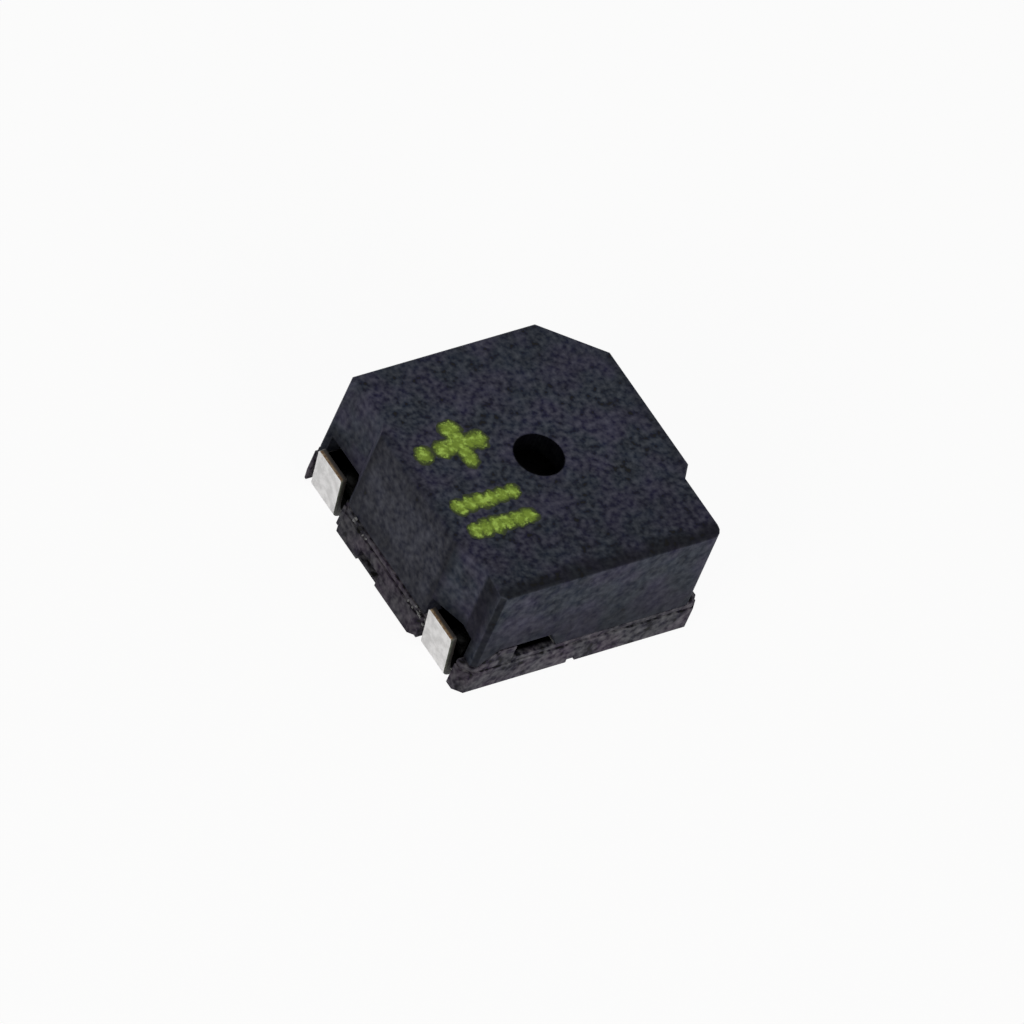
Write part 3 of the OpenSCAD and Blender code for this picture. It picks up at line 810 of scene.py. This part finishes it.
class BUZZER_OT_glue(bpy.types.Operator):
    """Add the glue pressed out of the seam in small drops"""

    bl_idname = "buzzer.glue"
    bl_label = "Seam glue"

    def execute(self, context):
        settings = context.scene.buzzer_glue
        glue = cured_glue(settings)
        set_material(frame["nodes"]["seam_adhesive"], glue)
        g = GeometryGraph("glue_drops")
        radius = g.input("Drop radius", "NodeSocketFloat", settings.drop_radius)
        seed = g.input("Seed", "NodeSocketInt", settings.seed)
        share = g.node(
            "FunctionNodeRandomValue", {"data_type": "FLOAT_VECTOR"},
            {0: (0.4, 0.5, 0.4), 1: (0.9, 1.5, 1.0), "Seed": seed},
        )
        scale = g.node("ShaderNodeVectorMath", {"operation": "SCALE"}, {0: share, "Scale": radius})
        ball = g.node("GeometryNodeMeshIcoSphere", {}, {"Radius": 1.0, "Subdivisions": 3})
        lumpy = g.roughened(g.at_points(ball, Scale=scale), 12.0, 2.0, 1.2 * radius)
        piece = g.bake("glue_drops", points_mesh("glue_places", self.drop_places(settings)), lumpy, glue)
        settle(piece, "glue")
        return {"FINISHED"}

    @staticmethod
    def drop_places(settings):
        """Places along the left seam where the glue came out, thickest beside the front terminal."""
        chance = random.Random(settings.seed)
        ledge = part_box("seam_adhesive")[0].z
        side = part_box("upper_case")[0].x
        places = []
        for middle, spread, count in ((-1.95, 0.22, settings.drop_count), (1.55, 0.1, 2), (1.05, 0.06, 2)):
            for _ in range(count):
                y = chance.gauss(middle, spread) * MM
                drop = chance.random()
                out = (0.02 + 0.03 * drop) * MM
                down = (0.25 * drop - 0.03) * MM
                places.append((side - out, y, ledge - down))
        return places


class BUZZER_OT_coil(bpy.types.Operator):
    """Wind the coil and finish its leads"""

    bl_idname = "buzzer.coil"
    bl_label = "Coil"

    def execute(self, context):
        settings = context.scene.buzzer_coil
        wire = enamelled_wire(settings)
        # Painted shade: the leads are painted near black.
        lead = metal("lead_enamel", scaled(settings.wire_colour, 0.12), 0.45, 0.1)
        for node in LEADS:
            set_material(frame["nodes"][node], lead)
        bore_gap, ring_steps, wire_sides = 0.04 * MM, 72, 8
        low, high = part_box("coil")
        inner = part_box("core")[1].x + bore_gap
        d = settings.wire_diameter
        turns = int((high.z - low.z) / d)
        layers = int((high.x - inner) / d)
        rows = (high.z - low.z - d) / (turns - 1)
        steps = (high.x - inner - d) / (layers - 1)
        outer_r = high.x - d / 2
        # Only the outer and inner layers and the two ends are wound, as they hide what lies between.
        places = [(outer_r, low.z + d / 2 + i * rows) for i in range(turns)]
        places += [(outer_r - (layers - 1) * steps, low.z + d / 2 + i * rows) for i in range(turns)]
        for z in (low.z + d / 2, high.z - d / 2):
            places += [(outer_r - i * steps, z) for i in range(1, layers - 1)]
        g = GeometryGraph("coil_turns")
        gauge = g.input("Wire diameter", "NodeSocketFloat", d)
        at = g.node("GeometryNodeInputPosition")
        ring_r = g.node("ShaderNodeSeparateXYZ", {}, {0: at}, output="X")
        height = g.node("ShaderNodeSeparateXYZ", {}, {0: at}, output="Z")
        seat = g.node("ShaderNodeCombineXYZ", {}, {2: height})
        circle = g.node(
            "GeometryNodeCurvePrimitiveCircle", {"mode": "RADIUS"}, {"Resolution": ring_steps, "Radius": 1.0}
        )
        scale = g.node("ShaderNodeCombineXYZ", {}, {0: ring_r, 1: ring_r, 2: ring_r})
        spread = g.node(
            "GeometryNodeInstanceOnPoints", {}, {"Points": g.geometry, "Instance": circle, "Scale": scale}
        )
        centred = g.node("GeometryNodeSetPosition", {}, {"Geometry": spread, "Position": seat})
        rings = g.node("GeometryNodeRealizeInstances", {}, {"Geometry": centred})
        section = g.node(
            "GeometryNodeCurvePrimitiveCircle", {"mode": "RADIUS"},
            {"Resolution": wire_sides, "Radius": gauge / 2},
        )
        winding = g.node("GeometryNodeCurveToMesh", {}, {"Curve": rings, "Profile Curve": section})
        start = points_mesh("turn_places", [(r, 0.0, z) for r, z in places])
        piece = g.bake("coil_winding", start, winding, wire)
        settle(piece, "enamelled_copper", "coil")
        return {"FINISHED"}


class BUZZER_OT_magnet_system(bpy.types.Operator):
    """Finish the iron, the magnet, the diaphragm, its ring and the solder"""

    bl_idname = "buzzer.magnet_system"
    bl_label = "Magnet system"

    def execute(self, context):
        nodes = frame["nodes"]
        iron = metal("soft_iron", (0.42, 0.42, 0.43), 0.4, 0.1)
        set_material(nodes["yoke_plate"], iron)
        set_material(nodes["core"], iron)
        set_material(nodes["magnet_ring"], metal("sintered_magnet", (0.16, 0.16, 0.17), 0.5, 0.05))
        steel = metal("rolled_steel", (0.12, 0.12, 0.125), 0.45, 0.08, stretch=(6.0, 1.0, 1.0))
        set_material(nodes["diaphragm"], steel)
        set_material(nodes["armature_disc"], metal("blackened_iron", (0.03, 0.03, 0.032), 0.6, 0.08))
        set_material(nodes["support_ring"], ring_plastic())
        # Painted shade: the solder is painted near black.
        solder = metal("reflowed_solder", grey(0.04), 0.5, 0.12)
        for node in SOLDER_JOINTS:
            set_material(nodes[node], solder)
        return {"FINISHED"}


# ---------------------------------------------------------------- panel and registration

SETTINGS = {
    "buzzer_stage": StageSettings,
    "buzzer_housing": HousingSettings,
    "buzzer_terminals": TerminalSettings,
    "buzzer_ink": InkSettings,
    "buzzer_glue": GlueSettings,
    "buzzer_coil": CoilSettings,
}
OPERATORS = (
    BUZZER_OT_stage, BUZZER_OT_housing, BUZZER_OT_terminals, BUZZER_OT_ink, BUZZER_OT_glue, BUZZER_OT_coil,
    BUZZER_OT_magnet_system,
)


class BUZZER_PT_parts(bpy.types.Panel):
    """Lists the steps that build the buzzer, each with its settings"""

    bl_idname = "BUZZER_PT_parts"
    bl_label = "Magnetic buzzer"
    bl_space_type = "VIEW_3D"
    bl_region_type = "UI"
    bl_category = "Buzzer"

    def draw(self, context):
        for operator in OPERATORS:
            box = self.layout.box()
            box.operator(operator.bl_idname)
            settings = getattr(context.scene, operator.bl_idname.replace(".", "_"), None)
            if settings is not None:
                for name in settings.__annotations__:
                    box.prop(settings, name)


def register():
    for kind in (*SETTINGS.values(), *OPERATORS, BUZZER_PT_parts):
        bpy.utils.register_class(kind)
    for name, kind in SETTINGS.items():
        setattr(bpy.types.Scene, name, PointerProperty(type=kind))


def unregister():
    for name in SETTINGS:
        delattr(bpy.types.Scene, name)
    for kind in reversed((*SETTINGS.values(), *OPERATORS, BUZZER_PT_parts)):
        bpy.utils.unregister_class(kind)


def main():
    register()
    for operator in OPERATORS:
        group, name = operator.bl_idname.split(".")
        getattr(getattr(bpy.ops, group), name)()


if __name__ == "__main__":
    main()
